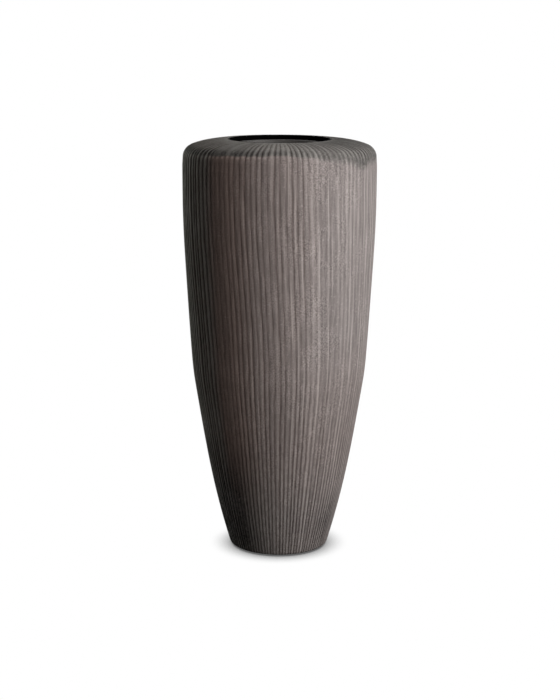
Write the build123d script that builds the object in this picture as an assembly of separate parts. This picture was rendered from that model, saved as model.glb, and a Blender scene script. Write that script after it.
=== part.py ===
"""Urn vase: a tall ribbed vessel on a narrow foot, with a flat shoulder, a round mouth and a lift-out liner.

Millimetres, +Z up. The origin is the centre of the floor under the foot.
The body and the shoulder are two moulded shells that meet at the widest level. Both carry the same ribs.
"""
import math
import os

from build123d import *

# Body: rise of each station above the one below it, and the diameter there over the rib crests
foot_flat_diameter = 145.0
foot_edge_radius = 6.5
foot_flare = 0.30
flank_rise = 108.0
flank_diameter = 210.0
bend_start_rise = 140.0
bend_start_diameter = 259.6
bend_rise = 35.0
bend_diameter = 270.0
bend_end_rise = 35.0
bend_end_diameter = 276.0
upper_rise = 120.0
upper_diameter = 290.7
top_rise = 90.0
top_diameter = 299.0
seam_rise = 78.0
body_diameter = 300.0

# Shoulder: a short rise above the seam, a tight knee, and a crown that flattens towards the lip
knee_rise = 12.5
knee_lean = 0.8
knee_radius = 20.0
knee_turn = 70.0
crown_rise = 8.7
crown_end_slope = 0.05
mouth_diameter = 154.5
lip_land = 1.5
lip_thickness = 9.0

# Ribs: they run from the foot to the lip, and the grooves get shallower where the ribs crowd
rib_count = 108
rib_depth = 1.3

# Steps in which the ribs follow each stretch of the outline
foot_steps = 2
side_steps = 9
knee_steps = 3
crown_steps = 2

# Walls of the two shells, whose rough insides have many flat sides
wall = 6.0
floor_thickness = 8.0
foot_ring_width = 26.0
foot_recess_depth = 5.0
hollow_sides = 24

# Seam: a ring on the shoulder reaches down inside the body
spigot_wall = 4.0
spigot_depth = 14.0
spigot_gap = 0.3

# Throat ring: a sleeve in the mouth, over a plate with a glue flange outside and a ledge inside
sleeve_wall = 2.5
sleeve_gap = 0.3
sleeve_setback = 0.2
glue_width = 18.0
ledge_width = 7.0
plate_thickness = 4.0

# Liner
liner_depth = 220.0
liner_wall = 2.0
liner_flange_thickness = 2.0
liner_flange_gap = 1.0
liner_wall_gap = 0.8
liner_chamfer = 7.0

# Felt pads under the foot ring
pad_thickness = 2.0
pad_diameter = 18.0
pad_count = 4

# Levels, counted up from the floor
foot_level = pad_thickness
flank_level = foot_level + flank_rise
bend_start_level = flank_level + bend_start_rise
bend_level = bend_start_level + bend_rise
bend_end_level = bend_level + bend_end_rise
upper_level = bend_end_level + upper_rise
top_level = upper_level + top_rise
seam_level = top_level + seam_rise
knee_level = seam_level + knee_rise
crown_level = knee_level + knee_radius * math.sin(math.radians(knee_turn))
lip_level = crown_level + crown_rise
floor_level = foot_level + foot_recess_depth + floor_thickness
ledge_level = lip_level - lip_thickness

# Radii that follow from the sizes above
body_radius = body_diameter / 2
mouth_radius = mouth_diameter / 2
foot_flat_radius = foot_flat_diameter / 2
groove_ratio = 1 - rib_depth / body_radius
seam_bore_radius = body_radius * groove_ratio - wall
spigot_radius = seam_bore_radius - spigot_gap
spigot_bore_radius = spigot_radius - spigot_wall
sleeve_radius = mouth_radius - sleeve_gap
sleeve_bore_radius = sleeve_radius - sleeve_wall
ledge_radius = sleeve_bore_radius - ledge_width
glue_radius = mouth_radius + glue_width

# Angles
pitch_angle = 360 / rib_count
flare_angle = math.degrees(math.atan(foot_flare))


def body_stations(ratio=1.0, inset=0.0):
    """Points (radius, height) of the body's side, with the radii scaled and then moved inwards."""
    stations = [
        (flank_diameter, flank_level),
        (bend_start_diameter, bend_start_level),
        (bend_diameter, bend_level),
        (bend_end_diameter, bend_end_level),
        (upper_diameter, upper_level),
        (top_diameter, top_level),
        (body_diameter, seam_level),
    ]
    return [(diameter / 2 * ratio - inset, level) for diameter, level in stations]


def body_line(ratio=1.0):
    """The body's outline from the foot's flat to the seam: each edge with its number of steps."""
    start = (foot_flat_radius * ratio, foot_level)
    foot_edge = JernArc(start, (1, 0), foot_edge_radius, 90 - flare_angle)
    side = Spline(foot_edge @ 1, *body_stations(ratio), tangents=(foot_edge % 1, (0, 1)))
    return [(foot_edge, foot_steps), (side, side_steps)]


def knee_arc(depth=0.0):
    """The shoulder's tight bend, at this depth under its crests."""
    start = (body_radius - knee_lean - depth, knee_level)
    return JernArc(start, (0, 1), knee_radius - depth, knee_turn)


def shoulder_line(depth=0.0):
    """The shoulder's outline from the seam to the lip, where grooves of this depth run out."""
    knee = knee_arc(depth)
    rise = Line((body_radius - depth, seam_level), knee @ 0)
    lip = (mouth_radius + lip_land, lip_level)
    crown = Spline(knee @ 1, lip, tangents=(knee % 1, (-1, crown_end_slope)))
    return [(rise, 1), (knee, knee_steps), (crown, crown_steps)]


def stepped(line):
    """Points at the ends of all steps along an outline."""
    points = [line[0][0] @ 0]
    for edge, steps in line:
        points += [edge @ (i / steps) for i in range(1, steps + 1)]
    return points


def rib_ring(crest_point, groove_point):
    """The closed zigzag across all ribs, from one point of the crests' outline and one of the grooves'."""
    corners = []
    for i in range(rib_count):
        for point, turns in ((crest_point, i), (groove_point, i + 0.5)):
            angle = math.radians(pitch_angle * turns)
            corners.append((point.X * math.cos(angle), point.X * math.sin(angle), point.Y))
    return Wire.make_polygon(corners)


def ribbed_solid(crest_line, groove_line):
    """A solid whose ribs run straight from ring to ring along the two outlines, with flat ends."""
    pairs = zip(stepped(crest_line), stepped(groove_line))
    return Solid.make_loft([rib_ring(crest, groove) for crest, groove in pairs], ruled=True)


def hollow_ring(radius, level):
    """Corners of a regular polygon about the axis whose flats lie at this radius."""
    reach = radius / math.cos(math.pi / hollow_sides)
    angles = [2 * math.pi * i / hollow_sides for i in range(hollow_sides)]
    return [(reach * math.cos(angle), reach * math.sin(angle), level) for angle in angles]


def many_sided(stations):
    """A solid of flat faces through the rings at stations (radius, height)."""
    rings = [hollow_ring(radius, level) for radius, level in stations]
    outlines = [rings[0], rings[-1]]
    for lower, upper in zip(rings, rings[1:]):
        outlines += [[lower[i - 1], lower[i], upper[i], upper[i - 1]] for i in range(hollow_sides)]
    return Solid(Shell([Face(Wire.make_polygon(outline)) for outline in outlines]))


def spun(*points):
    """Revolve a polygon, drawn as (radius, height), about the axis."""
    return revolve(Plane.XZ * make_face(Polyline(*points, close=True)), Axis.Z)


def disc(radius, low, high):
    """A plain disc on the axis between two levels."""
    return Pos(0, 0, low) * Cylinder(radius, high - low, align=(Align.CENTER, Align.CENTER, Align.MIN))


def make_body():
    """The ribbed tub with its floor, and a recess under the foot that leaves a ring to stand on."""
    groove_line = body_line(groove_ratio)
    solid = ribbed_solid(body_line(), groove_line)
    foot_edge = groove_line[0][0] @ 1
    floor_radius = foot_edge.X + (floor_level - foot_edge.Y) * foot_flare - wall
    cavity = many_sided([(floor_radius, floor_level), *body_stations(groove_ratio, wall)])
    recess = disc(foot_flat_radius - foot_ring_width, foot_level, foot_level + foot_recess_depth)
    return solid - cavity - recess


def make_shoulder():
    """The ribbed top with its mouth, and the ring under its edge that centres it in the body."""
    solid = ribbed_solid(shoulder_line(), shoulder_line(rib_depth))
    spigot_foot = seam_level - spigot_depth
    spigot = many_sided([(spigot_radius, spigot_foot), (spigot_radius, knee_level)])
    inner_knee = knee_arc(wall)
    hollow = many_sided([
        (spigot_bore_radius, spigot_foot),
        (spigot_bore_radius, knee_level + (knee_radius - wall) / 2),
        ((inner_knee @ 1).X, (inner_knee @ 1).Y),
        (glue_radius, ledge_level),
    ])
    mouth = disc(mouth_radius, seam_level, lip_level)
    return solid + spigot - hollow - mouth


def make_throat_ring():
    """The ring that lines the mouth: a sleeve that stops just under the lip, on a plate glued to the shoulder."""
    plate_level = ledge_level - plate_thickness
    sleeve_level = lip_level - sleeve_setback
    return spun(
        (ledge_radius, plate_level), (glue_radius, plate_level), (glue_radius, ledge_level),
        (sleeve_radius, ledge_level), (sleeve_radius, sleeve_level), (sleeve_bore_radius, sleeve_level),
        (sleeve_bore_radius, ledge_level), (ledge_radius, ledge_level),
    )


def make_liner():
    """The water liner: a straight tub with a bevelled base, whose flange hangs on the throat ring's ledge."""
    rim_level = ledge_level + liner_flange_thickness
    base_level = rim_level - liner_depth
    floor_top = base_level + liner_wall
    flange_radius = sleeve_bore_radius - liner_flange_gap
    wall_radius = ledge_radius - liner_wall_gap
    bore_radius = wall_radius - liner_wall
    bore_chamfer = liner_chamfer - liner_wall * (2 - math.sqrt(2))
    return spun(
        (0, base_level), (wall_radius - liner_chamfer, base_level), (wall_radius, base_level + liner_chamfer),
        (wall_radius, ledge_level), (flange_radius, ledge_level), (flange_radius, rim_level),
        (bore_radius, rim_level), (bore_radius, floor_top + bore_chamfer),
        (bore_radius - bore_chamfer, floor_top), (0, floor_top),
    )


def make_foot_pads():
    """Felt discs stuck under the middle of the foot ring."""
    circle_radius = foot_flat_radius - foot_ring_width / 2
    pad = disc(pad_diameter / 2, 0, pad_thickness)
    places = PolarLocations(circle_radius, pad_count, start_angle=180 / pad_count)
    return Compound(children=[place * pad for place in places])


pieces = {
    "ribbed_body": make_body,
    "ribbed_shoulder": make_shoulder,
    "throat_ring": make_throat_ring,
    "liner": make_liner,
    "foot_pads": make_foot_pads,
}

os.makedirs("parts", exist_ok=True)
for name, make in pieces.items():
    export_step(make(), f"parts/{name}.step")
print(f"height {lip_level:.1f} mm, widest diameter {body_diameter:.1f} mm")
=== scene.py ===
"""Ribbed urn vase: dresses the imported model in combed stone, with a black throat, a grey liner and felt pads.

Laid out as an add-on and run as a script. Metres, +Z up, in the frame's own axes.
The vase's front faces -Y. Azimuths are degrees round the axis from the front, positive towards +X, the right.
Each piece is a profile of (radius, height) points carried round the vase's axis.
"""
import math

import bpy
import numpy as np
from bpy.props import FloatProperty, FloatVectorProperty, IntProperty, PointerProperty
from mathutils import Euler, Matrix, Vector


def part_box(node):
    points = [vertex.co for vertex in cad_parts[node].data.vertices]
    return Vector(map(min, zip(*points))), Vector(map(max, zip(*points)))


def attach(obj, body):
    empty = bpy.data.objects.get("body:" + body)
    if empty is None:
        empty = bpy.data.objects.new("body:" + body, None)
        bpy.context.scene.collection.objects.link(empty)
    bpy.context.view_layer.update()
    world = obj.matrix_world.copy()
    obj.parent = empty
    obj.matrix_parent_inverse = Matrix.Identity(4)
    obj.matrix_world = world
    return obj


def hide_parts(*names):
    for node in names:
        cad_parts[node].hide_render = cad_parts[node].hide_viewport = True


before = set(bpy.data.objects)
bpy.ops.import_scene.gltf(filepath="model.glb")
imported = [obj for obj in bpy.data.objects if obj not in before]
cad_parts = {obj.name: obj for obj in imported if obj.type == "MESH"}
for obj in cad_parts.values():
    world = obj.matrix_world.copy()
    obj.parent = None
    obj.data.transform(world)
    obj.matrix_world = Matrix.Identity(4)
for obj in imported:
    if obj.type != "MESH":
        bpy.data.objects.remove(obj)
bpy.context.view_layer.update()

bl_info = {
    "name": "Ribbed Urn Vase",
    "version": (1, 0, 0),
    "blender": (4, 5, 0),
    "location": "View3D > Sidebar > Urn Vase",
    "description": "Builds the combed stone, throat, liner and pads of a tall urn vase on its packed model",
    "category": "Add Mesh",
}

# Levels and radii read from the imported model
FOOT_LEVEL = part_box("ribbed_body")[0].z
SEAM_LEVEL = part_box("ribbed_body")[1].z
LIP_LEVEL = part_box("ribbed_shoulder")[1].z
SPIGOT_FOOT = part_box("ribbed_shoulder")[0].z
BODY_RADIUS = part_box("ribbed_body")[1].x
PLATE_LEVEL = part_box("throat_ring")[0].z
SLEEVE_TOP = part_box("throat_ring")[1].z
GLUE_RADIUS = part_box("throat_ring")[1].x
LINER_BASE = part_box("liner")[0].z
LINER_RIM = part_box("liner")[1].z
FLANGE_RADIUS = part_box("liner")[1].x
PAD_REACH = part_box("foot_pads")[1].x
PAD_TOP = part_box("foot_pads")[1].z

# The throat ring's ledge, on which the liner's flange lies
FLANGE_THICKNESS = 0.002
LEDGE_LEVEL = LINER_RIM - FLANGE_THICKNESS

# The body's side: height over the foot and radius over the crests at each station
BODY_STATIONS = (
    (0.108, 0.1050), (0.248, 0.1298), (0.283, 0.1350), (0.318, 0.1380), (0.438, 0.14535), (0.528, 0.1495),
)
STATION_HEIGHTS, STATION_RADII = zip(*BODY_STATIONS)

# Points along each stretch of the outlines, and columns round the smooth pieces
FOOT_EDGE_POINTS = 7
SIDE_POINTS = 84
RISE_POINTS = 10
KNEE_POINTS = 29
CROWN_POINTS = 24
LIP_POINTS = 5
ROUND_COLUMNS = 192
PAD_COLUMNS = 48

# Small rounds on the edges of the recess, the throat ring, the liner and the pads
RECESS_EASE = 0.001
RING_EASE = 0.0006
LINER_EASE = 0.0007
PAD_EASE = 0.0006
SHARP_ANGLE = math.radians(62)

# Columns across one rib, from one groove to the next, closer together beside the grooves
RIB_FRACTIONS = np.array([0.0, 0.07, 0.18, 0.33, 0.5, 0.67, 0.82, 0.93])

# Grooves round the vase: azimuth, then shares of their depth, their darkness and the pale lines on the crests;
# the extra darkness at the left is painted shade
GROOVE_STATIONS = (
    (-180, 1.0, 1.0, 0.3),
    (-110, 1.5, 1.7, 0.6),
    (-47, 1.5, 1.7, 0.6),
    (-41, 0.25, 0.15, 0.0),
    (-33, 0.30, 0.25, 0.1),
    (-24, 0.6, 0.82, 0.5),
    (5, 0.50, 0.70, 0.8),
    (28, 0.28, 0.36, 1.0),
    (50, 0.25, 0.30, 1.0),
    (90, 0.35, 0.35, 0.9),
    (180, 1.0, 1.0, 0.3),
)
GROOVE_AZIMUTHS, GROOVE_DEPTHS, GROOVE_PAINTS, PALE_LINES = zip(*GROOVE_STATIONS)

# What the grooves gain in depth and in darkness down at the foot
LOW_DEPTH = 0.2
LOW_PAINT = 0.6

# Unevenness from rib to rib: sideways shift, groove depth, drop of the crests, and strength and width of the
# fine dark lines
MOST_SHIFT = 0.3
DEPTH_JITTER = 0.15
CREST_DROP = 0.16
FINE_LINE = 0.40
FINE_LINE_WIDTH = 0.11

# Sideways waves of the ribs: length along the surface, lobes round the vase and share of the waver
WAVES = ((0.31, 5, 0.45), (0.19, 9, 0.30), (0.12, 17, 0.20), (0.06, 31, 0.15))

# Lengths along the ribs over which groove depth, groove paint, dark lines, tone and pale lines come and go
DEPTH_WAVE = 0.23
PAINT_WAVE = 0.09
DARK_LINE_WAVE = 0.16
TONE_WAVE = 0.37
PALE_LINE_WAVE = 0.21

# Levels between which the ribs turn, as shares of the seam's level
DRIFT_SPAN = (0.47, 0.98)

# Groove share where the darkening of the grooves gives way to a lightening of the crests
GROOVE_MIDDLE = 0.35

# Painted shade on the right side and painted light on the front, as shares, the painted highlight by the lip,
# and the most painted shade on the shoulder
RIGHT_PAINTED_SHADE = 0.075
FRONT_PAINTED_LIGHT = 0.04
LIP_PAINTED_HIGHLIGHT = 0.35
DARKEST_SHOULDER = 0.66

# Sizes of the finishes' grain
STONE_GRAIN = 0.0022
THROAT_GRAIN = 0.0011
LINER_GRAIN = 0.0013
FELT_GRAIN = 0.0006

# The stage: half the floor's width, and how far the contact shadow painted on the floor reaches
FLOOR_HALF = 6.0
SHADOW_REACH = 0.05


def metres(name, description, default):
    """A setting for a length."""
    return FloatProperty(name=name, description=description, default=default, unit="LENGTH")


def degrees(name, description, default):
    """A setting for an angle, given in degrees and kept in radians."""
    return FloatProperty(
        name=name, description=description, default=math.radians(default), subtype="ANGLE")


def watts(name, description, default):
    """A setting for a lamp's power."""
    return FloatProperty(name=name, description=description, default=default, unit="POWER")


def amount(name, description, default):
    """A setting for a share, a slope or another plain number."""
    return FloatProperty(name=name, description=description, default=default)


def rgb(name, description, default):
    """A setting for a colour, as linear values."""
    return FloatVectorProperty(name=name, description=description, default=default, size=3, subtype="COLOR")


class UrnShape(bpy.types.PropertyGroup):
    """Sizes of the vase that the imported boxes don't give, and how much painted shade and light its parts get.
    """
    foot_flat_radius: metres("Foot flat radius", "Radius of the flat ring that the foot stands on", 0.0725)
    foot_edge_radius: metres("Foot edge radius", "Round between the foot's flat and the side", 0.0065)
    foot_flare: amount(
        "Foot flare", "How far the side runs out per unit of height just over the foot", 0.30)
    recess_radius: metres("Recess radius", "Radius of the recess under the foot", 0.0465)
    recess_depth: metres("Recess depth", "Depth of the recess under the foot", 0.005)
    wall: metres("Wall", "Thickness of the stone shells", 0.006)
    floor_thickness: metres("Floor thickness", "Thickness of the body's floor", 0.008)
    knee_rise: metres("Knee rise", "Height of the knee's start over the seam", 0.0125)
    knee_lean: metres("Knee lean", "How far the shoulder leans in below the knee", 0.0008)
    knee_radius: metres("Knee radius", "Radius of the shoulder's tight bend", 0.020)
    knee_turn: degrees("Knee turn", "Angle through which the knee turns", 70)
    crown_fullness: amount("Crown fullness", "How long the crown keeps the knee's slope, 1 as packed", 1.22)
    crown_end_slope: amount("Crown end slope", "Rise per unit of run where the crown meets the lip", 0.10)
    mouth_radius: metres("Mouth radius", "Radius of the hole in the shoulder", 0.07725)
    lip_round: metres("Lip round", "Radius of the lip's edge", 0.0011)
    spigot_wall: metres("Spigot wall", "Thickness of the ring that centres the shoulder", 0.004)
    fit_gap: metres("Fit gap", "Room between glued pieces", 0.0003)
    sleeve_wall: metres("Sleeve wall", "Thickness of the throat's sleeve", 0.0025)
    ledge_width: metres("Ledge width", "Width of the ledge that carries the liner", 0.007)
    liner_wall: metres("Liner wall", "Thickness of the liner", 0.002)
    liner_wall_gap: metres("Liner wall gap", "Room between the liner's wall and the ledge", 0.0008)
    liner_corner: metres("Liner corner", "Radius of the liner's base corner", 0.0085)
    pad_radius: metres("Pad radius", "Radius of a felt pad", 0.009)
    pad_count: IntProperty(name="Pads", description="Number of felt pads", default=4, min=3)
    break_climb: metres("Break climb", "Way up from the seam to the line where the side's ribs end", 0.0285)
    break_sink: metres("Break sink", "How much lower that line runs on the right", 0.0165)
    # Painted shade on the shoulder: the band above the knee and the crown, painted light where below 0.
    break_shade: amount("Break shade", "Darkening just above that line", 0.22)
    crown_shade: amount("Crown shade", "Darkening of the crown, less than 0 where it is paler", -0.34)
    # Painted shade at the sides of the foot, standing in for the light falling off there.
    foot_shade: amount("Foot shade", "Darkening at the sides of the foot, which fades out upwards", 0.40)
    # Painted shade: darkening of the smooth band at the left, where the light turns away.
    left_band_shade: amount("Worn shade", "Darkening of the smooth worn band at the left", 0.12)
    # Painted shade in the left grooves and painted highlight on the left crests; over the foot the grooves
    # darken too.
    groove_shade: amount("Groove shade", "Darkening of the grooves at the left and over the foot", 0.60)


class UrnRibs(bpy.types.PropertyGroup):
    """How the ribs are combed."""
    count: IntProperty(name="Ribs", description="Number of ribs round the vase", default=108, min=8)
    depth: metres("Groove depth", "Depth of a groove at the widest level", 0.0009)
    room: metres("Rib room", "Depth that the shells' walls leave for the grooves", 0.0013)
    roundness: amount("Crest roundness", "Power of the rib's section: higher narrows the crests", 1.0)
    width_jitter: amount("Width jitter", "How uneven the ribs' widths are, as a share of a rib", 0.09)
    wave: amount("Wave", "Sideways waver of the ribs, as a share of a rib", 0.08)
    drift: degrees("Drift", "Turn of the ribs between the shoulder and the bend", 4.0)
    seed: IntProperty(name="Seed", description="Seed of the ribs' unevenness", default=11)


class UrnColours(bpy.types.PropertyGroup):
    """Colours of the finishes, as linear values."""
    crest: rgb("Crest", "Rubbed rib crests", (0.265, 0.2330, 0.2240))
    groove: rgb("Groove", "Darker grooves", (0.173, 0.1457, 0.1367))
    # Painted tint: a greyer sheen for the shoulder's upward face, and a cool shade colour at the left and over
    # the foot.
    top: rgb("Top", "Duller tint of the shoulder above the knee", (0.910, 0.965, 0.950))
    # Browner tint: painted warm shade in the band at the left, and a browner tone on the right below the bend.
    tinted: rgb("Tinted", "Browner tint of the worn band at the left", (1.0, 0.865, 0.81))
    # Pale colour of the real specks and random lines, also used for painted glints and highlights.
    speck_and_glint: rgb("Speck", "Pale mineral specks", (0.540, 0.490, 0.465))
    # Near-total black: partly the ring's own black, partly painted shade of the deep mouth.
    throat: rgb("Throat", "Black throat ring", (0.0015, 0.0015, 0.0015))
    liner: rgb("Liner", "Grey liner", (0.075, 0.070, 0.066))
    felt: rgb("Felt", "Dark felt", (0.028, 0.025, 0.023))


class UrnStage(bpy.types.PropertyGroup):
    """Camera and light."""
    lens: FloatProperty(name="Lens", description="Focal length", default=83.79, unit="CAMERA")
    camera_distance: metres("Camera distance", "Level distance from the axis", 2.5153)
    camera_height: metres("Camera height", "Height over the floor", 0.85205)
    camera_aside: metres("Camera aside", "Offset to the right", 0.0015)
    camera_pitch: degrees("Camera pitch", "Downward tilt", 12.03)
    camera_roll: degrees("Camera roll", "Turn about the view's axis", 0.19)
    key_power: watts("Key power", "Power of the wide light at the right", 7.7)
    key_azimuth: degrees("Key azimuth", "Turn of the key to the right of the front", 55.5)
    back_power: watts("Back power", "Power of the soft light behind the left", 9.4)
    rear_power: watts("Rear power", "Power of the low light behind the vase", 22.0)
    top_power: watts("Top power", "Power of the weak light overhead", 2.2)
    warm_power: watts("Warm power", "Power of the weak warm light from the front", 0.68)
    fill_strength: amount("Fill", "Strength of the room's light", 0.018)
    fill_colour: rgb("Fill colour", "Colour of the room's light", (1.0, 0.88, 0.76))
    floor_bounce: rgb("Floor bounce", "Colour that the floor throws back on the vase", (0.08, 0.08, 0.08))


def ramp(x, *knots):
    """Straight lines through knots (place, value), level before the first and after the last."""
    places, values = zip(*knots)
    return np.interp(x, places, values)


def smooth_through(x, knots, values, start_slope, end_slope):
    """A cubic spline through the values at the knots, smooth in slope and curvature, with given end slopes.

    The slopes at the inner knots solve the usual tridiagonal system; each span is then a Hermite cubic.
    """
    knots = np.asarray(knots, float)
    values = np.asarray(values, float)
    step = np.diff(knots)
    rate = np.diff(values) / step
    n = len(knots)
    system = np.eye(n)
    right = np.zeros(n)
    right[0], right[-1] = start_slope, end_slope
    for i in range(1, n - 1):
        system[i, i - 1:i + 2] = step[i], 2 * (step[i - 1] + step[i]), step[i - 1]
        right[i] = 3 * (step[i] * rate[i - 1] + step[i - 1] * rate[i])
    slopes = np.linalg.solve(system, right)
    span = np.clip(np.searchsorted(knots, x) - 1, 0, n - 2)
    h = step[span]
    t = (x - knots[span]) / h
    return hermite(t, values[span], h * slopes[span], values[span + 1], h * slopes[span + 1])


def hermite(t, start, leave, end, arrive):
    """A cubic from start to end for t from 0 to 1, whose slopes at the two ends are leave and arrive."""
    return (
        (1 + 2 * t) * (1 - t) ** 2 * start + t * (1 - t) ** 2 * leave
        + t ** 2 * (3 - 2 * t) * end + t ** 2 * (t - 1) * arrive)


def arc(centre, radius, start, end, count):
    """Points of a circle about centre from the angle start to end, in radians."""
    angle = np.linspace(start, end, count)
    return np.stack([centre[0] + radius * np.cos(angle), centre[1] + radius * np.sin(angle)], axis=1)


def run(start, end, count):
    """Points of a straight stretch, without its last point."""
    share = np.linspace(0, 1, count, endpoint=False)[:, None]
    return np.asarray(start) * (1 - share) + np.asarray(end) * share


def rounded(corners, radii, count):
    """An outline through corners, each rounded by a quadratic curve that starts and ends one radius away.

    A corner with radius 0 stays sharp. The first and the last corner are the outline's ends.
    """
    corners = np.asarray(corners, float)
    points = [corners[:1]]
    share = np.linspace(0, 1, count)[:, None]
    for before, corner, after, radius in zip(corners, corners[1:], corners[2:], radii[1:-1]):
        if radius == 0:
            points.append(corner[None])
            continue
        start = corner + (before - corner) / np.linalg.norm(before - corner) * radius
        end = corner + (after - corner) / np.linalg.norm(after - corner) * radius
        points.append((1 - share) ** 2 * start + 2 * share * (1 - share) * corner + share ** 2 * end)
    points.append(corners[-1:])
    return np.vstack(points)


def rib_columns(ribs):
    """Per column: its place in ribs, groove share, shares of a fine dark and a pale line, and unevenness.

    A rib runs from one groove to the next. The groove share is 1 less a half sine across the rib. The
    unevenness of grooves, crests and tones is seeded.
    """
    rng = np.random.default_rng(ribs.seed)
    count, across = ribs.count, len(RIB_FRACTIONS)
    shift = rng.normal(0, ribs.width_jitter, count).clip(-MOST_SHIFT, MOST_SHIFT)
    groove_depth = 1 + DEPTH_JITTER * rng.normal(0, 1, count).clip(-1.8, 1.8)
    crest_drop = CREST_DROP * rng.random(count)
    tone = rng.normal(0, 1, count).clip(-2, 2)
    line_place = rng.uniform(0.3, 0.7, count)
    line_strength = rng.uniform(0, FINE_LINE, count)
    pale_column = rng.integers(3, 6, count)
    pale_strength = rng.random(count) ** 1.5
    number = np.repeat(np.arange(count), across)
    fraction = np.tile(RIB_FRACTIONS, count)
    after = (number + 1) % count
    nearer = np.where(fraction < 0.5, number, after)
    place = number + fraction + shift[number] * (1 - fraction) + shift[after] * fraction
    groove = 1 - np.abs(np.sin(np.pi * fraction)) ** ribs.roundness
    line = line_strength[number] * np.exp(-((fraction - line_place[number]) / FINE_LINE_WIDTH) ** 2)
    pale = pale_strength[number] * (np.tile(np.arange(across), count) == pale_column[number])
    return {
        "place": place, "groove": groove, "line": line, "pale": pale, "depth": groove_depth[nearer],
        "drop": crest_drop[number], "tone": tone[number], "number": number,
    }


def waver(ribs, columns, path):
    """Sideways offset of each column along the path over the surface, in ribs: slow waves of seeded phase."""
    rng = np.random.default_rng(ribs.seed + 1)
    turn = 2 * np.pi * columns["number"] / ribs.count
    offset = np.zeros((len(path), len(turn)))
    for length, lobes, share in WAVES:
        phase = rng.uniform(0, 2 * np.pi)
        offset += share * swing(path, length, lobes * turn + phase)
    return ribs.wave * offset


def swing(path, length, phase):
    """A sine of this wave length along the path, for each column shifted by its phase."""
    return np.sin(2 * np.pi * path[:, None] / length + phase[None])


def drift(ribs, path):
    """Turn of all ribs: none at the shoulder, growing smoothly down to the bend, then steady."""
    low, high = (SEAM_LEVEL * share for share in DRIFT_SPAN)
    t = np.clip((path - low) / (high - low), 0, 1)
    return ribs.drift * (1 - t * t * (3 - 2 * t))


def rib_angles(ribs, columns, path):
    """Angle of each column from the front at each point of the path: its rib's place, waver and drift."""
    place = columns["place"][None] + waver(ribs, columns, path)
    return 2 * np.pi * place / ribs.count + drift(ribs, path)[:, None]


def azimuth(turn):
    """Angles in radians as degrees between -180 and 180."""
    return np.degrees((turn + np.pi) % (2 * np.pi) - np.pi)


def low_share(height):
    """1 at the foot, falling to 0 at the bend of the side."""
    return ramp(height, (0.05, 1), (0.30, 0))


def combed(profile, outer, weight, path, columns, ribs):
    """Rings of points for a ribbed profile, with each vertex's groove share, tone and share of a pale line.

    A column stands at the angle of its rib. Its points lie inside the profile by the groove's depth, along
    the profile's own normal, times the weight of the row or point. The first rows, outer of them, are the
    ribbed outside and have their normals to themselves. The phase of each swing steps on from rib to rib.
    """
    slope = np.vstack([np.gradient(profile[:outer], axis=0), np.gradient(profile[outer:], axis=0)])
    slope /= np.linalg.norm(slope, axis=1, keepdims=True)
    inward = np.stack([-slope[:, 1], slope[:, 0]], axis=1)
    scale = ribs.depth * (profile[:, :1] / BODY_RADIUS) ** 0.8
    turn = rib_angles(ribs, columns, path)
    aside = azimuth(turn)
    low = low_share(path)[:, None]
    number = columns["number"]
    cut = columns["groove"] * columns["depth"] + (1 - columns["groove"]) * columns["drop"]
    along = 1 + 0.15 * swing(path, DEPTH_WAVE, 3 * columns["tone"])
    depth = np.interp(aside, GROOVE_AZIMUTHS, GROOVE_DEPTHS) + LOW_DEPTH * low
    inset = scale * weight * cut[None] * along * depth
    radius = profile[:, :1] + inward[:, :1] * inset
    height = profile[:, 1:] + inward[:, 1:] * inset
    rings = np.stack([radius * np.sin(turn), -radius * np.cos(turn), height], axis=-1)
    paint = weight * (np.interp(aside, GROOVE_AZIMUTHS, GROOVE_PAINTS) + LOW_PAINT * low)
    paint = paint * (1 + 0.3 * swing(path, PAINT_WAVE, 2.9 * number))
    come_and_go = 0.5 + 0.5 * swing(path, DARK_LINE_WAVE, 1.7 * number)
    groove = (columns["groove"] * columns["depth"] + columns["line"] * come_and_go) * paint
    tone = 0.5 * columns["tone"][None] + 0.5 * swing(path, TONE_WAVE, 2.4 * number)
    fading = np.clip(0.45 + 0.9 * swing(path, PALE_LINE_WAVE, 2.1 * number), 0, 1)
    pale = weight * columns["pale"] * fading * np.interp(aside, GROOVE_AZIMUTHS, PALE_LINES)
    return rings, groove, tone, pale


def turned(profile, columns=ROUND_COLUMNS):
    """Rings of points: the profile carried round the axis in even steps."""
    angle = np.linspace(0, 2 * np.pi, columns, endpoint=False)
    r, z = profile[:, :1], profile[:, 1:]
    return np.stack([r * np.cos(angle), r * np.sin(angle), z + 0 * angle], axis=-1)


def ring_faces(rows, columns, joined):
    """Quads between neighbouring rings, and from the last ring to the first where they are joined."""
    index = np.arange(rows * columns).reshape(rows, columns)
    if joined:
        index = np.vstack([index, index[:1]])
    beside = np.roll(index, -1, axis=1)
    return np.stack([index[:-1], beside[:-1], beside[1:], index[1:]], axis=-1).reshape(-1, 4)


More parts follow.
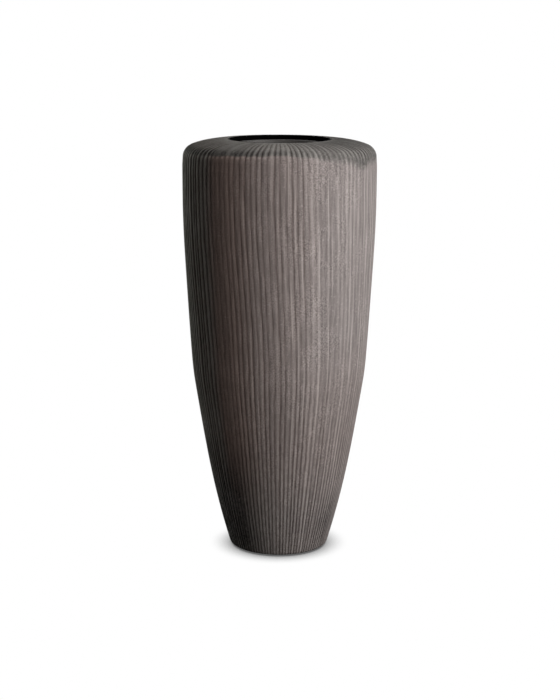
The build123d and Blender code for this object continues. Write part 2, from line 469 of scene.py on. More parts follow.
def add_skin(name, rings, poles=None, values=None, copies=None):
    """A smooth closed mesh over rings.

    poles are the two heights on the axis that close it, or None where the last ring joins the first. values
    are named numbers per vertex, kept as attributes. copies are (x, y) places where the skin stands.
    """
    rows, columns = rings.shape[:2]
    points = rings.reshape(-1, 3)
    quads = ring_faces(rows, columns, poles is None)
    fans = np.zeros((0, 3), int)
    if poles is not None:
        first = np.arange(columns)
        last = first + (rows - 1) * columns
        low, high = len(points), len(points) + 1
        points = np.vstack([points, [[0, 0, poles[0]], [0, 0, poles[1]]]])
        under = np.stack([np.full(columns, low), np.roll(first, -1), first], axis=1)
        over = np.stack([last, np.roll(last, -1), np.full(columns, high)], axis=1)
        fans = np.vstack([under, over])
    if copies is not None:
        shift = np.arange(len(copies)) * len(points)
        quads = (quads[None] + shift[:, None, None]).reshape(-1, 4)
        fans = (fans[None] + shift[:, None, None]).reshape(-1, 3)
        places = np.hstack([copies, np.zeros((len(copies), 1))])
        points = (points[None] + places[:, None]).reshape(-1, 3)
    mesh = bpy.data.meshes.new(name)
    mesh.from_pydata(points.tolist(), [], quads.tolist() + fans.tolist())
    for key, numbers in (values or {}).items():
        filled = np.zeros(len(points), np.float32)
        filled[:numbers.size] = numbers.ravel()
        mesh.attributes.new(key, "FLOAT", "POINT").data.foreach_set("value", filled)
    mesh.shade_smooth()
    mesh.set_sharp_from_angle(angle=SHARP_ANGLE)
    mesh.validate()
    piece = bpy.data.objects.new(name, mesh)
    bpy.context.scene.collection.objects.link(piece)
    return piece


def seat(piece, node, body, material):
    """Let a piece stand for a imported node, ride on its body and wear its finish."""
    piece.data.materials.append(material)
    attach(piece, body)
    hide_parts(node)


def left_contrast(aside):
    """1 where the left side's grooves get painted shade and its crests painted highlights, more than elsewhere.
    """
    return ramp(aside, (-130, 0), (-100, 1), (-48, 1), (-41, 0))


def left_shaded_band(aside):
    """1 in the smooth band at the left of the front, which gets painted shade."""
    return ramp(aside, (-48, 0), (-40, 1), (-30, 1), (-13, 0))


def warm_tint(aside):
    """Share of the browner tint, a painted warm shade: all of it in the shaded band at the left, and less over
    the front to the right of it.
    """
    return ramp(aside, (-48, 0), (-40, 1), (-30, 1), (-13, 0.36), (8, 0.22), (28, 0))


def grain_share(aside):
    """How much the grain shows: least at the left, most at the front right."""
    return ramp(aside, (-180, 0.7), (-60, 0.35), (-12, 0.45), (25, 1), (120, 0.7))


def crest_share(grooves):
    """1 on the rib crests, falling to 0 towards the grooves."""
    return np.clip(1 - 5 * grooves, 0, 1)


def side_tone(aside, grooves, shape):
    """Painted shade and light on the side all the way up: shade on the band at the left and on the right, light
    on the front, shade in the left grooves and highlights on the left crests.
    """
    right_shade = ramp(aside, (28, 0), (40, 1), (120, 1), (160, 0))
    painted_light = ramp(aside, (-34, 0), (-26, 2.5), (-13, 2.5), (-4, 0), (2, 0), (12, 1), (28, 1), (42, 0))
    return (
        shape.left_band_shade * left_shaded_band(aside) + RIGHT_PAINTED_SHADE * right_shade - FRONT_PAINTED_LIGHT * painted_light
        + shape.groove_shade * left_contrast(aside) * (grooves - GROOVE_MIDDLE))


def side_radius(height, shape):
    """Radius of the body's side over the crests, at heights over the foot.

    It is a spline through the stations that leaves the foot's round edge at the flare and ends upright.
    """
    flare = math.atan(shape.foot_flare)
    edge_end = shape.foot_edge_radius * (1 - math.sin(flare))
    edge_radius = shape.foot_flat_radius + shape.foot_edge_radius * math.cos(flare)
    knots = [edge_end, *STATION_HEIGHTS, SEAM_LEVEL - FOOT_LEVEL]
    radii = [edge_radius, *STATION_RADII, BODY_RADIUS]
    return smooth_through(height, knots, radii, shape.foot_flare, 0)


class URN_OT_body(bpy.types.Operator):
    """The ribbed tub: recess, foot ring, round edge, ribbed side, seam, inner wall and floor as one skin"""
    bl_idname = "urn.body"
    bl_label = "Ribbed body"

    def execute(self, context):
        shape, ribs = context.scene.urn_shape, context.scene.urn_ribs
        ceiling = FOOT_LEVEL + shape.recess_depth
        floor = ceiling + shape.floor_thickness
        under, edge, side, inside = self.outline(shape, ribs, ceiling, floor)
        profile = np.vstack([under, edge, side, inside])
        weight = np.concatenate([
            np.zeros(len(under)), np.linspace(0, 1, len(edge)), np.ones(len(side)), np.zeros(len(inside))])
        outer = len(profile) - len(inside)
        path = np.concatenate([profile[:outer, 1], np.full(len(inside), SEAM_LEVEL)])
        columns = rib_columns(ribs)
        rings, groove, tone, pale = combed(profile, outer, weight[:, None], path, columns, ribs)
        aside = azimuth(rib_angles(ribs, columns, path))
        values = self.tones(profile[:, 1:] - FOOT_LEVEL, aside, columns["groove"], tone, pale, shape)
        values.update(groove=groove, tone=tone)
        piece = add_skin("ribbed_body_combed", rings, (ceiling, floor), values)
        seat(piece, "ribbed_body", "vase", combed_stone(context.scene.urn_colours))
        return {"FINISHED"}

    def outline(self, shape, ribs, ceiling, floor):
        """Four stretches of the profile: the underside, the foot's round edge, the side and the inside."""
        flat_end = shape.foot_flat_radius - 2 * RECESS_EASE
        recess = shape.recess_radius
        under = rounded(
            [(recess * 0.5, ceiling), (recess, ceiling), (recess, FOOT_LEVEL), (flat_end, FOOT_LEVEL)],
            [0, RECESS_EASE, RECESS_EASE, 0], 3)
        edge_centre = (shape.foot_flat_radius, FOOT_LEVEL + shape.foot_edge_radius)
        flare = math.atan(shape.foot_flare)
        edge = arc(edge_centre, shape.foot_edge_radius, -math.pi / 2, -flare, FOOT_EDGE_POINTS)
        height = np.linspace(edge[-1, 1] - FOOT_LEVEL, SEAM_LEVEL - FOOT_LEVEL, SIDE_POINTS)[1:]
        side = np.stack([side_radius(height, shape), height + FOOT_LEVEL], axis=1)
        drop = np.array([SEAM_LEVEL - FOOT_LEVEL, *STATION_HEIGHTS[::-1], floor - FOOT_LEVEL])
        inside = np.stack([side_radius(drop, shape) - ribs.room - shape.wall, drop + FOOT_LEVEL], axis=1)
        return under, edge, side, inside

    def tones(self, height, aside, grooves, tone, pale, shape):
        """The stone's tones, mostly painted shade and light, as named numbers per vertex, at heights over the
        foot and azimuths.
        """
        low = low_share(height) * ramp(aside, (-60, 1.6), (-48, 1.4), (-40, 0.3), (-33, 0.3), (-28, 1))
        crests = crest_share(grooves) * np.clip(0.20 + 0.20 * tone, 0, 1)
        low_grooves = 0.65 * shape.groove_shade * low * (grooves - GROOVE_MIDDLE)
        # Painted shade colour: a cool tint over the foot at the left and front.
        cool_foot_shade = ramp(height, (0.03, 1), (0.20, 0)) * ramp(aside, (-30, 1), (20, 0))
        warmth = np.maximum(warm_tint(aside), self.low_warmth(height, aside))
        return {
            "dark": self.foot_painted_shade(height, aside, shape) + side_tone(aside, grooves, shape) + low_grooves,
            # Pale random lines, paler crests over the foot, and painted highlights on the left crests.
            "ends": pale + np.maximum(low, 1.4 * left_contrast(aside)) * crests,
            # Tint share: painted cool shade colour over the foot and at the left.
            "top": np.maximum(cool_foot_shade, left_contrast(aside)),
            # Share of the browner tint: painted warm shade in the left band, and the browner tone below the
            # bend.
            "tinted": ramp(height, (0.06, 0), (0.16, 1)) * warmth,
            "fringe": ramp(height, (0.10, 0.35), (0.20, 0)) * ramp(aside, (-30, 0.5), (20, 1)),
            "grain": grain_share(aside),
        }

    def low_warmth(self, height, aside):
        """Share of the browner tint on the right below the bend."""
        up = ramp(height, (0.20, 0.22), (0.28, 0.18), (0.36, 0))
        return up * ramp(aside, (-13, 0), (10, 1), (90, 1), (130, 0))

    def foot_painted_shade(self, height, aside, shape):
        """Painted shade on the foot: strong at both sides, with a darker patch between, and fading out up the
        side.

        The front, and the left up at the bend, get painted light instead.
        """
        left = ramp(height, (0.10, 1.05), (0.19, 0)) * ramp(
            aside, (-180, 0.4), (-130, 1), (-72, 1.1), (-52, 1.25), (-36, 0.95), (-12, 0))
        right = ramp(height, (0.02, 0.7), (0.045, 1), (0.06, 1), (0.105, 0)) * ramp(
            aside, (15, 0), (36, 0.25), (45, 0.8), (55, 1.1), (75, -0.2), (130, 0.5), (180, 0.4))
        darker_patch = ramp(height, (0.03, 0.3), (0.05, 1), (0.075, 1), (0.11, 0)) * ramp(
            aside, (5, 0), (12, 1), (25, 1), (32, 0))
        front = ramp(height, (0.0, 1), (0.11, 0.85), (0.19, 0)) * ramp(
            aside, (-40, 0), (-22, 1), (0, 1), (12, 0))
        bend = ramp(height, (0.14, 0), (0.21, 1), (0.27, 1), (0.34, 0)) * ramp(
            aside, (-120, 0), (-90, 1), (-12, 1), (0, 0))
        return shape.foot_shade * (1.4 * left + right + 0.5 * darker_patch - 0.5 * front - 0.4 * bend)


class URN_OT_shoulder(bpy.types.Operator):
    """The ribbed shoulder: rise, knee, crown, lip, mouth wall, underside and spigot as one closed ring"""
    bl_idname = "urn.shoulder"
    bl_label = "Ribbed shoulder"

    def execute(self, context):
        shape, ribs = context.scene.urn_shape, context.scene.urn_ribs
        outer, below = self.outline(shape, ribs)
        profile = np.vstack([outer, below])
        steps = np.linalg.norm(np.diff(outer, axis=0), axis=1)
        climb = np.concatenate([[0], np.cumsum(steps)])
        path = SEAM_LEVEL + np.concatenate([climb, np.full(len(below), climb[-1])])
        columns = rib_columns(ribs)
        aside = azimuth(rib_angles(ribs, columns, SEAM_LEVEL + climb))
        past = climb[:, None] - self.break_line(aside, columns, shape)
        values, fade, quiet = self.tones(outer[:, :1] - shape.mouth_radius, aside, past, columns, shape)
        # The hidden rest has no ribs and wears the throat's black, painted shade of the mouth's inside
        hidden = np.zeros((len(below), len(columns["place"])))
        values = {key: np.vstack([rows, hidden + (key == "inner")]) for key, rows in values.items()}
        quiet = np.vstack([quiet, hidden])
        weight = np.vstack([fade, hidden])
        rings, groove, tone, pale = combed(profile, len(outer), weight, path, columns, ribs)
        values.update(groove=groove, tone=tone - 1.5 * quiet, ends=values["ends"] + pale * (1 - quiet))
        piece = add_skin("ribbed_shoulder_combed", rings, None, values)
        seat(piece, "ribbed_shoulder", "vase", combed_stone(context.scene.urn_colours))
        return {"FINISHED"}

    def outline(self, shape, ribs):
        """The outside from the seam to the mouth's wall, and the hidden rest of the section back to the seam.

        The crown is a Hermite cubic from the knee's end to the lip, with points closer together at the lip.
        """
        knee_level = SEAM_LEVEL + shape.knee_rise
        knee_start = (BODY_RADIUS - shape.knee_lean, knee_level)
        knee_centre = (knee_start[0] - shape.knee_radius, knee_level)
        rise = run((BODY_RADIUS, SEAM_LEVEL), knee_start, RISE_POINTS)
        knee = arc(knee_centre, shape.knee_radius, 0, shape.knee_turn, KNEE_POINTS)
        lip_start = np.array([shape.mouth_radius + shape.lip_round, LIP_LEVEL])
        chord = np.linalg.norm(lip_start - knee[-1])
        knee_end = np.array([-math.sin(shape.knee_turn), math.cos(shape.knee_turn)])
        leave = knee_end * chord * shape.crown_fullness
        arrive = np.array([-1, shape.crown_end_slope]) * chord
        t = np.append(np.linspace(0, 0.93, CROWN_POINTS)[1:], (0.955, 0.98, 1.0))[:, None]
        crown = hermite(t, knee[-1], leave, lip_start, arrive)
        crown[:, 1] = np.minimum(crown[:, 1], LIP_LEVEL)
        lip_centre = (lip_start[0], LIP_LEVEL - shape.lip_round)
        lip = arc(lip_centre, shape.lip_round, math.pi / 2, math.pi, LIP_POINTS)[1:]
        spigot_radius = BODY_RADIUS - ribs.room - shape.wall - shape.fit_gap
        spigot_bore = spigot_radius - shape.spigot_wall
        inner_knee = arc(knee_centre, shape.knee_radius - shape.wall, shape.knee_turn, shape.knee_turn, 1)
        below = np.vstack([
            [(shape.mouth_radius, LEDGE_LEVEL), (GLUE_RADIUS, LEDGE_LEVEL)], inner_knee,
            [(spigot_bore, knee_level + (shape.knee_radius - shape.wall) / 2), (spigot_bore, SPIGOT_FOOT),
             (spigot_radius, SPIGOT_FOOT), (spigot_radius, SEAM_LEVEL)]])
        return np.vstack([rise, knee, crown, lip]), below

    def break_line(self, aside, columns, shape):
        """Way up from the seam to the line where the side's ribs end. It sinks smoothly towards the right."""
        sink = ramp(
            aside, (-150, 0), (-90, 0.4), (-55, 0.4), (-25, 0.15), (2, 0), (25, 0.45), (45, 0.9),
            (54, 1.5), (60, 1.5), (66, 1.1), (110, 1.1), (170, 0))
        return shape.break_climb - shape.break_sink * sink + 0.0006 * columns["tone"][None]

    def tones(self, from_mouth, aside, past, columns, shape):
        """The outside's tones as named numbers per vertex, mostly painted shade and light, the grooves' weight,
        and where the ribs are quiet.

        past is the way past the break line. Below that line the shoulder looks like the side.
        """
        grooves = columns["groove"][None]
        from_lip = from_mouth - shape.lip_round
        softness = ramp(aside, (5, 0.0032), (25, 0.0070), (50, 0.0140), (120, 0.0140), (170, 0.0032))
        top = np.clip(past / softness + 0.5, 0, 1)
        above = ramp(past, (0.006, 0), (0.020, 1))
        soft = (1 - above) * ramp(aside, (18, 0), (42, 0.85), (120, 0.85), (170, 0))
        smooth_width = ramp(aside, (-150, 0.008), (-60, 0.038), (-15, 0.030), (5, 0.005))
        rubbed_flat = ramp(aside, (-47, 0), (-41, 0.85), (-27, 0.85), (-17, 0))
        fade = np.clip(from_lip / smooth_width, 0, 1) ** 2 * (1 - top * rubbed_flat)
        strokes = (grooves - 0.25) * fade * (1 - soft) * ramp(aside, (5, 0.40), (35, 0.28))
        shade = self.crown_painted_shade(aside, above, shape) + strokes
        # Painted highlight along the lip: the last 9 mm of the crown are lighter.
        lip_side = np.clip(1 - from_lip / 0.009, 0, 1)
        # Painted glints: pale dots on the crests just below the break line, where the bend catches light.
        knee_glints = np.exp(-((past + 0.0025) / 0.0017) ** 2) * np.clip(1.2 - 3 * grooves, 0, 1)
        knee_glints = knee_glints * ramp(aside, (-60, 0), (-38, 0.8), (-12, 0.7), (10, 0.1))
        # Painted highlights on the crests above the break line, and on the left crests below it.
        painted_light = 0.3 * top * fade * (1 - soft) * crest_share(grooves)
        painted_light = painted_light * ramp(aside, (-140, 0.3), (-90, 1), (8, 1), (40, 0.35))
        left_crest_highlights = left_contrast(aside) * crest_share(grooves) * (0.24 + 0.08 * columns["tone"][None])
        side = side_tone(aside, grooves, shape)
        values = {
            "dark": top * np.minimum(shade, DARKEST_SHOULDER) + (1 - top) * side - LIP_PAINTED_HIGHLIGHT * lip_side,
            "ends": knee_glints + painted_light + (1 - top) * left_crest_highlights,
            # Tint share: painted sheen above the break line, painted cool shade colour at the left.
            "top": np.maximum(top, left_contrast(aside)),
            # Share of the browner tint below the break line: painted warm shade in the left band, less over the
            # front.
            "tinted": (1 - top) * warm_tint(aside),
            "fringe": 4 * top * (1 - top) * ramp(aside, (0, 0.2), (25, 0.7), (120, 0.7), (170, 0.2)),
            "grain": grain_share(aside),
            # Painted shade: the throat's black runs over the lip's inner edge, widening the dark of the mouth.
            "inner": ramp(from_mouth, (0.0022, 1), (0.0034, 0)) + 0 * past,
        }
        return values, fade, soft * top

    def crown_painted_shade(self, aside, above, shape):
        """Painted shade on the band just past the break line, turning into the crown's painted shade above it,
        with painted light at the crown's front.
        """
        band = shape.break_shade + ramp(
            aside, (-150, 0), (-90, 0.44), (-25, 0.44), (-9, 0), (15, 0), (60, 0.25), (120, 0.25), (170, 0))
        crown = shape.crown_shade + ramp(
            aside, (-25, 0.33), (-9, -0.08), (3, -0.25), (15, 0.12), (60, 0.86), (120, 0.86), (170, 0.2))
        return band * (1 - above) + crown * above


class URN_OT_throat_ring(bpy.types.Operator):
    """The black ring in the mouth: a sleeve on a plate, with eased edges, carried round the axis"""
    bl_idname = "urn.throat_ring"
    bl_label = "Throat ring"

    def execute(self, context):
        shape = context.scene.urn_shape
        sleeve = shape.mouth_radius - shape.fit_gap
        bore = sleeve - shape.sleeve_wall
        ledge = bore - shape.ledge_width
        middle = (ledge + GLUE_RADIUS) / 2
        ease = RING_EASE
        section = rounded(
            [(middle, PLATE_LEVEL), (GLUE_RADIUS, PLATE_LEVEL), (GLUE_RADIUS, LEDGE_LEVEL),
             (sleeve, LEDGE_LEVEL), (sleeve, SLEEVE_TOP), (bore, SLEEVE_TOP), (bore, LEDGE_LEVEL),
             (ledge, LEDGE_LEVEL), (ledge, PLATE_LEVEL), (middle - ease, PLATE_LEVEL)],
            [0, ease, ease, 0, ease, ease, 0, ease, ease, 0], 4)
        piece = add_skin("throat_ring_black", turned(section))
        seat(piece, "throat_ring", "vase", throat_black(context.scene.urn_colours))
        return {"FINISHED"}


class URN_OT_liner(bpy.types.Operator):
    """The grey water liner: base, wall, flange and inside as one profile carried round the axis"""
    bl_idname = "urn.liner"
    bl_label = "Liner"

    def execute(self, context):
        shape = context.scene.urn_shape
        ledge = shape.mouth_radius - shape.fit_gap - shape.sleeve_wall - shape.ledge_width
        wall = ledge - shape.liner_wall_gap
        bore = wall - shape.liner_wall
        floor = LINER_BASE + shape.liner_wall
        ease = LINER_EASE
        profile = rounded(
            [(wall * 0.3, LINER_BASE), (wall, LINER_BASE), (wall, LEDGE_LEVEL), (FLANGE_RADIUS, LEDGE_LEVEL),
             (FLANGE_RADIUS, LINER_RIM), (bore, LINER_RIM), (bore, floor), (bore * 0.3, floor)],
            [0, shape.liner_corner, ease, ease, ease, 2 * ease, shape.liner_corner - shape.liner_wall, 0], 7)
        piece = add_skin("liner_grey_tub", turned(profile), (LINER_BASE, floor))
        seat(piece, "liner", "liner", liner_grey(context.scene.urn_colours))
        return {"FINISHED"}


class URN_OT_foot_pads(bpy.types.Operator):
    """Felt discs with rounded edges, evenly spaced under the foot ring"""
    bl_idname = "urn.foot_pads"
    bl_label = "Foot pads"

    def execute(self, context):
        shape = context.scene.urn_shape
        middle = shape.pad_radius * 0.4
        profile = rounded(
            [(middle, 0), (shape.pad_radius, 0), (shape.pad_radius, PAD_TOP), (middle, PAD_TOP)],
            [0, PAD_EASE, PAD_EASE / 2, 0], 5)
        circle = (PAD_REACH - shape.pad_radius) * math.sqrt(2)
        angle = (np.arange(shape.pad_count) + 0.5) * 2 * np.pi / shape.pad_count
        places = circle * np.stack([np.cos(angle), np.sin(angle)], axis=1)
        piece = add_skin("foot_pads_felt", turned(profile, PAD_COLUMNS), (0, PAD_TOP), copies=places)
        seat(piece, "foot_pads", "vase", felt_dark(context.scene.urn_colours))
        return {"FINISHED"}


def link(tree, source, target):
    """Join two sockets of a node tree."""
    tree.links.new(source, target)


def feed(tree, socket, value):
    """Give a socket its value: another socket, a number or a colour."""
    if isinstance(value, bpy.types.NodeSocket):
        link(tree, value, socket)
    elif isinstance(value, (int, float)):
        socket.default_value = value
    else:
        socket.default_value = (*value, 1)


def add_node(tree, kind, **settings):
    """A node with its settings; a setting named like an input sets that input's value."""
    node = tree.nodes.new(kind)
    for key, value in settings.items():
        name = key.replace("_", " ")
        if name in node.inputs:
            node.inputs[name].default_value = value
        else:
            setattr(node, key, value)
    return node


def attribute(tree, name):
    """A named number of the piece's own vertices."""
    return add_node(tree, "ShaderNodeAttribute", attribute_name=name).outputs["Fac"]


def math_node(tree, operation, *operands):
    """A Math node; each operand is a socket or a number."""
    node = add_node(tree, "ShaderNodeMath", operation=operation)
    for socket, value in zip(node.inputs, operands):
        feed(tree, socket, value)
    return node.outputs[0]


def product(tree, first, *others):
    """Math nodes that multiply sockets or numbers one after the other."""
    for other in others:
        first = math_node(tree, "MULTIPLY", first, other)
    return first


def mix_colour(tree, factor, first, second, mode="MIX"):
    """A colour Mix node; each operand is a socket or a colour."""
    node = add_node(tree, "ShaderNodeMix", data_type="RGBA", blend_type=mode)
    for index, value in ((0, factor), (6, first), (7, second)):
        feed(tree, node.inputs[index], value)
    return node.outputs[2]


def mix_number(tree, factor, first, second):
    """A number Mix node; each operand is a socket or a number."""
    node = tree.nodes.new("ShaderNodeMix")
    for index, value in ((0, factor), (2, first), (3, second)):
        feed(tree, node.inputs[index], value)
    return node.outputs[0]


def spread(tree, value, span, result=(0.0, 1.0)):
    """A smooth, clamped Map Range node from a span (low, high) to a result (low, high)."""
    node = add_node(tree, "ShaderNodeMapRange", interpolation_type="SMOOTHSTEP")
    link(tree, value, node.inputs["Value"])
    for name, number in zip(("From Min", "From Max", "To Min", "To Max"), (*span, *result)):
        node.inputs[name].default_value = number
    return node.outputs["Result"]


def grain_group():
    """Shared grain at a size in metres, on Object coordinates.

    It puts out a fine height, cloudy patches, sharp specks, streaks that are long in Z, and small blotches.
    Each is a noise with its own detail, roughness and share of the grain's fineness.
    """
    name = "Fine grain"
    if name in bpy.data.node_groups:
        return bpy.data.node_groups[name]
    group = bpy.data.node_groups.new(name, "ShaderNodeTree")
    size = group.interface.new_socket("Size", in_out="INPUT", socket_type="NodeSocketFloat")
    size.default_value = STONE_GRAIN
    for output in ("Patches", "Specks", "Height", "Streaks", "Blotches"):
        group.interface.new_socket(output, in_out="OUTPUT", socket_type="NodeSocketFloat")
    start = group.nodes.new("NodeGroupInput")
    end = group.nodes.new("NodeGroupOutput")
    place = group.nodes.new("ShaderNodeTexCoord").outputs["Object"]
    stretch = add_node(group, "ShaderNodeMapping")
    stretch.inputs["Scale"].default_value = (1, 1, 0.07)
    link(group, place, stretch.inputs["Vector"])
    scale = math_node(group, "DIVIDE", 1.0, start.outputs["Size"])
    noise = {}
    for key, detail, roughness, fineness in (
            ("Height", 3.0, 0.6, 1.0), ("Patches", 4.0, 0.55, 0.06), ("Specks", 1.0, 0.5, 0.7),
            ("Streaks", 2.0, 0.6, 0.8), ("Blotches", 2.0, 0.5, 0.32)):
        node = add_node(group, "ShaderNodeTexNoise", Detail=detail, Roughness=roughness)
        link(group, stretch.outputs["Vector"] if key == "Streaks" else place, node.inputs["Vector"])
        link(group, product(group, scale, fineness), node.inputs["Scale"])
        noise[key] = node.outputs["Fac"]
    noise["Patches"] = spread(group, noise["Patches"], (0.32, 0.68))
    noise["Specks"] = spread(group, noise["Specks"], (0.60, 0.74))
    for key, socket in noise.items():
        link(group, socket, end.inputs[key])
    return group


def empty_tree(owner):
    """The node tree of a material or a world, with its nodes cleared."""
    owner.use_nodes = True
    owner.node_tree.nodes.clear()
    return owner.node_tree


def new_material(name, roughness, specular):
    """A material with a Principled BSDF and its output; plain numbers sit on the shader's sockets."""
    material = bpy.data.materials.new(name)
    tree = empty_tree(material)
    shader = add_node(tree, "ShaderNodeBsdfPrincipled", Roughness=roughness, Specular_IOR_Level=specular)
    output = tree.nodes.new("ShaderNodeOutputMaterial")
    link(tree, shader.outputs[0], output.inputs["Surface"])
    return material, tree, shader


def place_grain(tree, size):
    """The shared grain in a material, at its own size."""
    node = tree.nodes.new("ShaderNodeGroup")
    node.node_tree = grain_group()
    node.inputs["Size"].default_value = size
    return node.outputs


def add_bump(tree, shader, height, distance, strength):
    """A bump from a height, in metres, on the shader's normal."""
    bump = add_node(tree, "ShaderNodeBump", Strength=strength, Distance=distance)
    link(tree, height, bump.inputs["Height"])
    link(tree, bump.outputs["Normal"], shader.inputs["Normal"])


def combed_stone(colours):
    """Matte warm stone: pale crests, darker grooves, uneven ribs, cloudy patches and mineral specks, and
    painted light and shade.

    It reads the skins' attributes: groove and tone of the ribs, grain (how much of it shows), dark (share
    taken off the lightness, mostly painted shade, and painted light below 0), fringe (where that share is
    blotched), ends (pale spots and lines, partly painted glints and highlights), top and tinted (where the two
    tints lie, a painted sheen and painted shade colours) and inner (the mouth's black edge, painted shade).
    """
    name = "Combed stone"
    if name in bpy.data.materials:
        return bpy.data.materials[name]
    material, tree, shader = new_material(name, 0.8, 0.06)
    groove, tone, ends, top, tinted, inner = (
        attribute(tree, key) for key in ("groove", "tone", "ends", "top", "tinted", "inner"))
    grain = place_grain(tree, STONE_GRAIN)
    base = mix_colour(tree, spread(tree, groove, (0.24, 0.70)), colours.crest, colours.groove)
    base = mix_colour(tree, 1.0, base, stone_lightness(tree, grain, tone), "MULTIPLY")
    specks = product(tree, grain["Specks"], spread(tree, groove, (0.35, 0.05)), 0.35)
    lines = product(tree, spread(tree, groove, (0.16, 0.02)), spread(tree, tone, (-0.6, 1.2), (0.06, 0.34)))
    for mask in (specks, lines, ends):
        base = mix_colour(tree, mask, base, colours.speck_and_glint)
    for mask, tint in ((top, colours.top), (tinted, colours.tinted)):
        base = mix_colour(tree, mask, base, mix_colour(tree, 1.0, base, tint, "MULTIPLY"))
    # Painted shade: the throat's black over the lip's inner edge and the hidden inside.
    base = mix_colour(tree, inner, base, colours.throat)
    link(tree, base, shader.inputs["Base Color"])
    link(tree, spread(tree, grain["Patches"], (0.0, 1.0), (0.72, 0.90)), shader.inputs["Roughness"])
    add_bump(tree, shader, grain["Height"], 0.0006, 0.5)
    return material


def stone_lightness(tree, grain, tone):
    """Factor on the stone's colour.

    It is the product of the ribs' tones, the grain where it shows, the streaks, the clouds and what a mottled
    and partly blotched darkening, mostly painted shade, leaves.
    """
    shown, dark, fringe = (attribute(tree, key) for key in ("grain", "dark", "fringe"))
    ribs = math_node(tree, "MULTIPLY_ADD", tone, 0.07, 1.0)
    patchy = product(tree, spread(tree, grain["Patches"], (0.3, 0.8), (0.25, 1.0)), shown)
    fine = mix_number(tree, patchy, 1.0, spread(tree, grain["Height"], (0.3, 0.7), (0.62, 1.38)))
    streaks = spread(tree, grain["Streaks"], (0.3, 0.7), (0.84, 1.16))
    clouds = spread(tree, grain["Patches"], (0.0, 1.0), (0.95, 1.04))
    mottled = spread(tree, grain["Height"], (0.35, 0.65), (0.6, 1.4))
    blotched = mix_number(tree, fringe, 1.0, spread(tree, grain["Blotches"], (0.42, 0.58), (0.3, 1.6)))
    left = math_node(tree, "SUBTRACT", 1.0, product(tree, dark, mottled, blotched))
    return product(tree, ribs, fine, streaks, clouds, left)


def grained(material, tree, shader, colour, lift, size, mask, roughness, bump):
    """Finish a plain material with the shared grain.

    The colour is lift times as light where the mask is full. roughness is (low, high) over the patches, and
    bump is (distance, strength).
    """
    grain = place_grain(tree, size)
    paler = tuple(min(1, lift * c) for c in colour)
    link(tree, mix_colour(tree, grain[mask], colour, paler), shader.inputs["Base Color"])
    link(tree, spread(tree, grain["Patches"], (0.0, 1.0), roughness), shader.inputs["Roughness"])
    add_bump(tree, shader, grain["Height"], *bump)
    return material


def throat_black(colours):
    """Matte black plastic with a fine grain."""
    parts = new_material("Throat black", 0.8, 0.0)
    return grained(*parts, colours.throat, 1.8, THROAT_GRAIN, "Patches", (0.72, 0.88), (0.0002, 0.3))


def liner_grey(colours):
    """Moulded grey plastic, a little cloudy, with a fine grain."""
    parts = new_material("Liner grey", 0.55, 0.4)
    return grained(*parts, colours.liner, 1.3, LINER_GRAIN, "Patches", (0.48, 0.64), (0.0002, 0.25))


def felt_dark(colours):
    """Pressed felt: short fibres in light and dark over a soft bump."""
    parts = new_material("Felt dark", 0.95, 0.1)
    return grained(*parts, colours.felt, 2.2, FELT_GRAIN, "Height", (0.88, 1.0), (0.0004, 0.8))


def seen_directly(tree):
    """1 for rays from the camera, mirror-like rays and rays through glass, 0 for light that bounces about."""
    path = tree.nodes.new("ShaderNodeLightPath")
    total = math_node(tree, "MAXIMUM", path.outputs["Is Camera Ray"], path.outputs["Is Glossy Ray"])
    return math_node(tree, "MAXIMUM", total, path.outputs["Is Transmission Ray"])


def light_or_look(tree, light, look, output_kind):
    """Put out one shader for the light thrown on the vase and another one for what is seen directly."""
    blend = tree.nodes.new("ShaderNodeMixShader")
    link(tree, seen_directly(tree), blend.inputs[0])
    link(tree, light.outputs[0], blend.inputs[1])
    link(tree, look.outputs[0], blend.inputs[2])
    output = tree.nodes.new(output_kind)
    link(tree, blend.outputs[0], output.inputs["Surface"])


def add_area_light(name, turn, distance, height, aim, size, power, colour=(1, 1, 1), spread_angle=math.pi):
    """A soft rectangular light, turned round the axis from the front, aimed at a height on the axis."""
    lamp = bpy.data.lights.new(name, "AREA")
    lamp.shape = "RECTANGLE"
    lamp.size, lamp.size_y = size
    lamp.energy = power
    lamp.color = colour
    lamp.spread = spread_angle
    light = bpy.data.objects.new(name, lamp)
    place = Vector((math.sin(turn) * distance, -math.cos(turn) * distance, height))
    light.location = place
    light.rotation_euler = (Vector((0, 0, aim)) - place).to_track_quat("-Z", "Y").to_euler()
    bpy.context.scene.collection.objects.link(light)


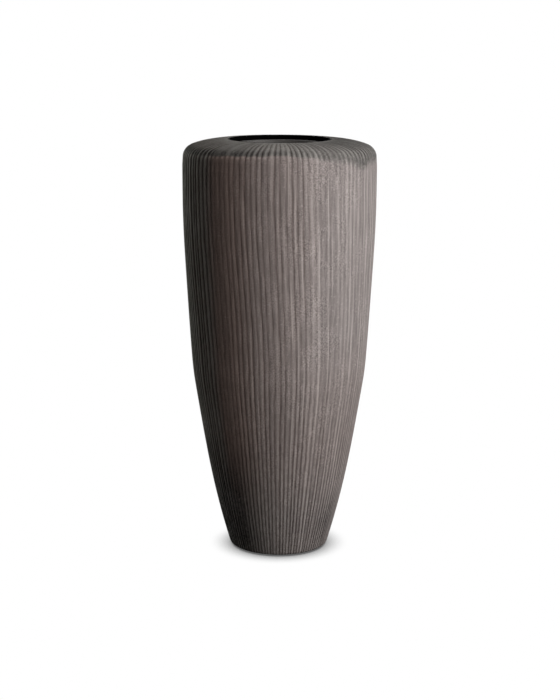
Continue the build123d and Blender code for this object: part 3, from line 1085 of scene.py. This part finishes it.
class URN_OT_stage(bpy.types.Operator):
    """Pale floor, white surroundings, soft studio light and the photograph's camera"""
    bl_idname = "urn.stage"
    bl_label = "Stage"

    def execute(self, context):
        scene, stage = context.scene, context.scene.urn_stage
        self.add_floor(scene, stage)
        self.set_world(scene, stage)
        self.add_lights(stage)
        self.add_camera(scene, stage)
        scene.view_settings.view_transform = "Standard"
        return {"FINISHED"}

    def add_lights(self, stage):
        """A wide key at the right, weak lights overhead and in front, and two behind."""
        add_area_light(
            "key", stage.key_azimuth, distance=1.35, height=0.865, aim=0.42, size=(1.8, 0.4),
            power=stage.key_power, spread_angle=math.radians(90))
        add_area_light(
            "back", math.radians(-137), distance=1.6, height=0.85, aim=0.35, size=(0.8, 0.8),
            power=stage.back_power, colour=(0.93, 1.0, 0.90))
        add_area_light(
            "overhead", 0, distance=0.5, height=2.2, aim=LIP_LEVEL, size=(1.0, 1.0), power=stage.top_power)
        add_area_light(
            "warm", math.radians(14), distance=1.8, height=0.7, aim=0.35, size=(0.6, 0.9),
            power=stage.warm_power, colour=(1.0, 0.66, 0.52))
        add_area_light(
            "rear", math.radians(170), distance=1.6, height=0.30, aim=0.33, size=(0.6, 0.5),
            power=stage.rear_power)

    def add_camera(self, scene, stage):
        """The photograph's camera: in front, tilted down and rolled a little."""
        camera = bpy.data.objects.new("camera", bpy.data.cameras.new("camera"))
        camera.data.lens = stage.lens
        camera.location = (stage.camera_aside, -stage.camera_distance, stage.camera_height)
        tilt = Euler((math.pi / 2 - stage.camera_pitch, 0, 0)).to_matrix()
        camera.rotation_euler = (tilt @ Euler((0, 0, stage.camera_roll)).to_matrix()).to_euler()
        scene.collection.objects.link(camera)
        scene.camera = camera

    def add_floor(self, scene, stage):
        """A wide pale floor that glows white to the camera, with the vase's contact shadow painted into the
        glow from ambient occlusion.
        """
        half = FLOOR_HALF
        mesh = bpy.data.meshes.new("floor")
        corners = [(-half, -half, 0), (half, -half, 0), (half, half, 0), (-half, half, 0)]
        mesh.from_pydata(corners, [], [(0, 1, 2, 3)])
        floor = bpy.data.objects.new("floor", mesh)
        scene.collection.objects.link(floor)
        material = bpy.data.materials.new("Pale floor")
        tree = empty_tree(material)
        near = add_node(tree, "ShaderNodeAmbientOcclusion", samples=16, Distance=SHADOW_REACH)
        shadowed_glow = tree.nodes.new("ShaderNodeEmission")
        link(tree, spread(tree, near.outputs["AO"], (0.15, 0.85), (0.12, 1.0)), shadowed_glow.inputs["Strength"])
        matte = add_node(tree, "ShaderNodeBsdfDiffuse", Color=(*stage.floor_bounce[:], 1))
        light_or_look(tree, matte, shadowed_glow, "ShaderNodeOutputMaterial")
        mesh.materials.append(material)

    def set_world(self, scene, stage):
        """White to look at, and a weak warm grey light on everything."""
        world = bpy.data.worlds.new("studio")
        tree = empty_tree(world)
        fill = add_node(
            tree, "ShaderNodeBackground", Color=(*stage.fill_colour[:], 1), Strength=stage.fill_strength)
        white = add_node(tree, "ShaderNodeBackground", Color=(1, 1, 1, 1), Strength=1.0)
        light_or_look(tree, fill, white, "ShaderNodeOutputWorld")
        scene.world = world


class URN_PT_panel(bpy.types.Panel):
    """Sidebar panel with the vase's settings and its pieces"""
    bl_idname = "URN_PT_panel"
    bl_label = "Urn Vase"
    bl_space_type = "VIEW_3D"
    bl_region_type = "UI"
    bl_category = "Urn Vase"

    def draw(self, context):
        for name, group in GROUPS.items():
            box = self.layout.box()
            for key in group.__annotations__:
                box.prop(getattr(context.scene, name), key)
        for operator in PIECES:
            self.layout.operator(operator.bl_idname)


PIECES = (URN_OT_body, URN_OT_shoulder, URN_OT_throat_ring, URN_OT_liner, URN_OT_foot_pads, URN_OT_stage)
GROUPS = {"urn_shape": UrnShape, "urn_ribs": UrnRibs, "urn_colours": UrnColours, "urn_stage": UrnStage}


def register():
    """Make the classes known, and keep the settings on the scene."""
    for cls in (*GROUPS.values(), *PIECES, URN_PT_panel):
        bpy.utils.register_class(cls)
    for name, group in GROUPS.items():
        setattr(bpy.types.Scene, name, PointerProperty(type=group))


def unregister():
    """Take the settings and the classes away again."""
    for name in GROUPS:
        delattr(bpy.types.Scene, name)
    for cls in reversed((*GROUPS.values(), *PIECES, URN_PT_panel)):
        bpy.utils.unregister_class(cls)


def main():
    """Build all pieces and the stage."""
    register()
    bpy.ops.urn.body()
    bpy.ops.urn.shoulder()
    bpy.ops.urn.throat_ring()
    bpy.ops.urn.liner()
    bpy.ops.urn.foot_pads()
    bpy.ops.urn.stage()


if __name__ == "__main__":
    main()
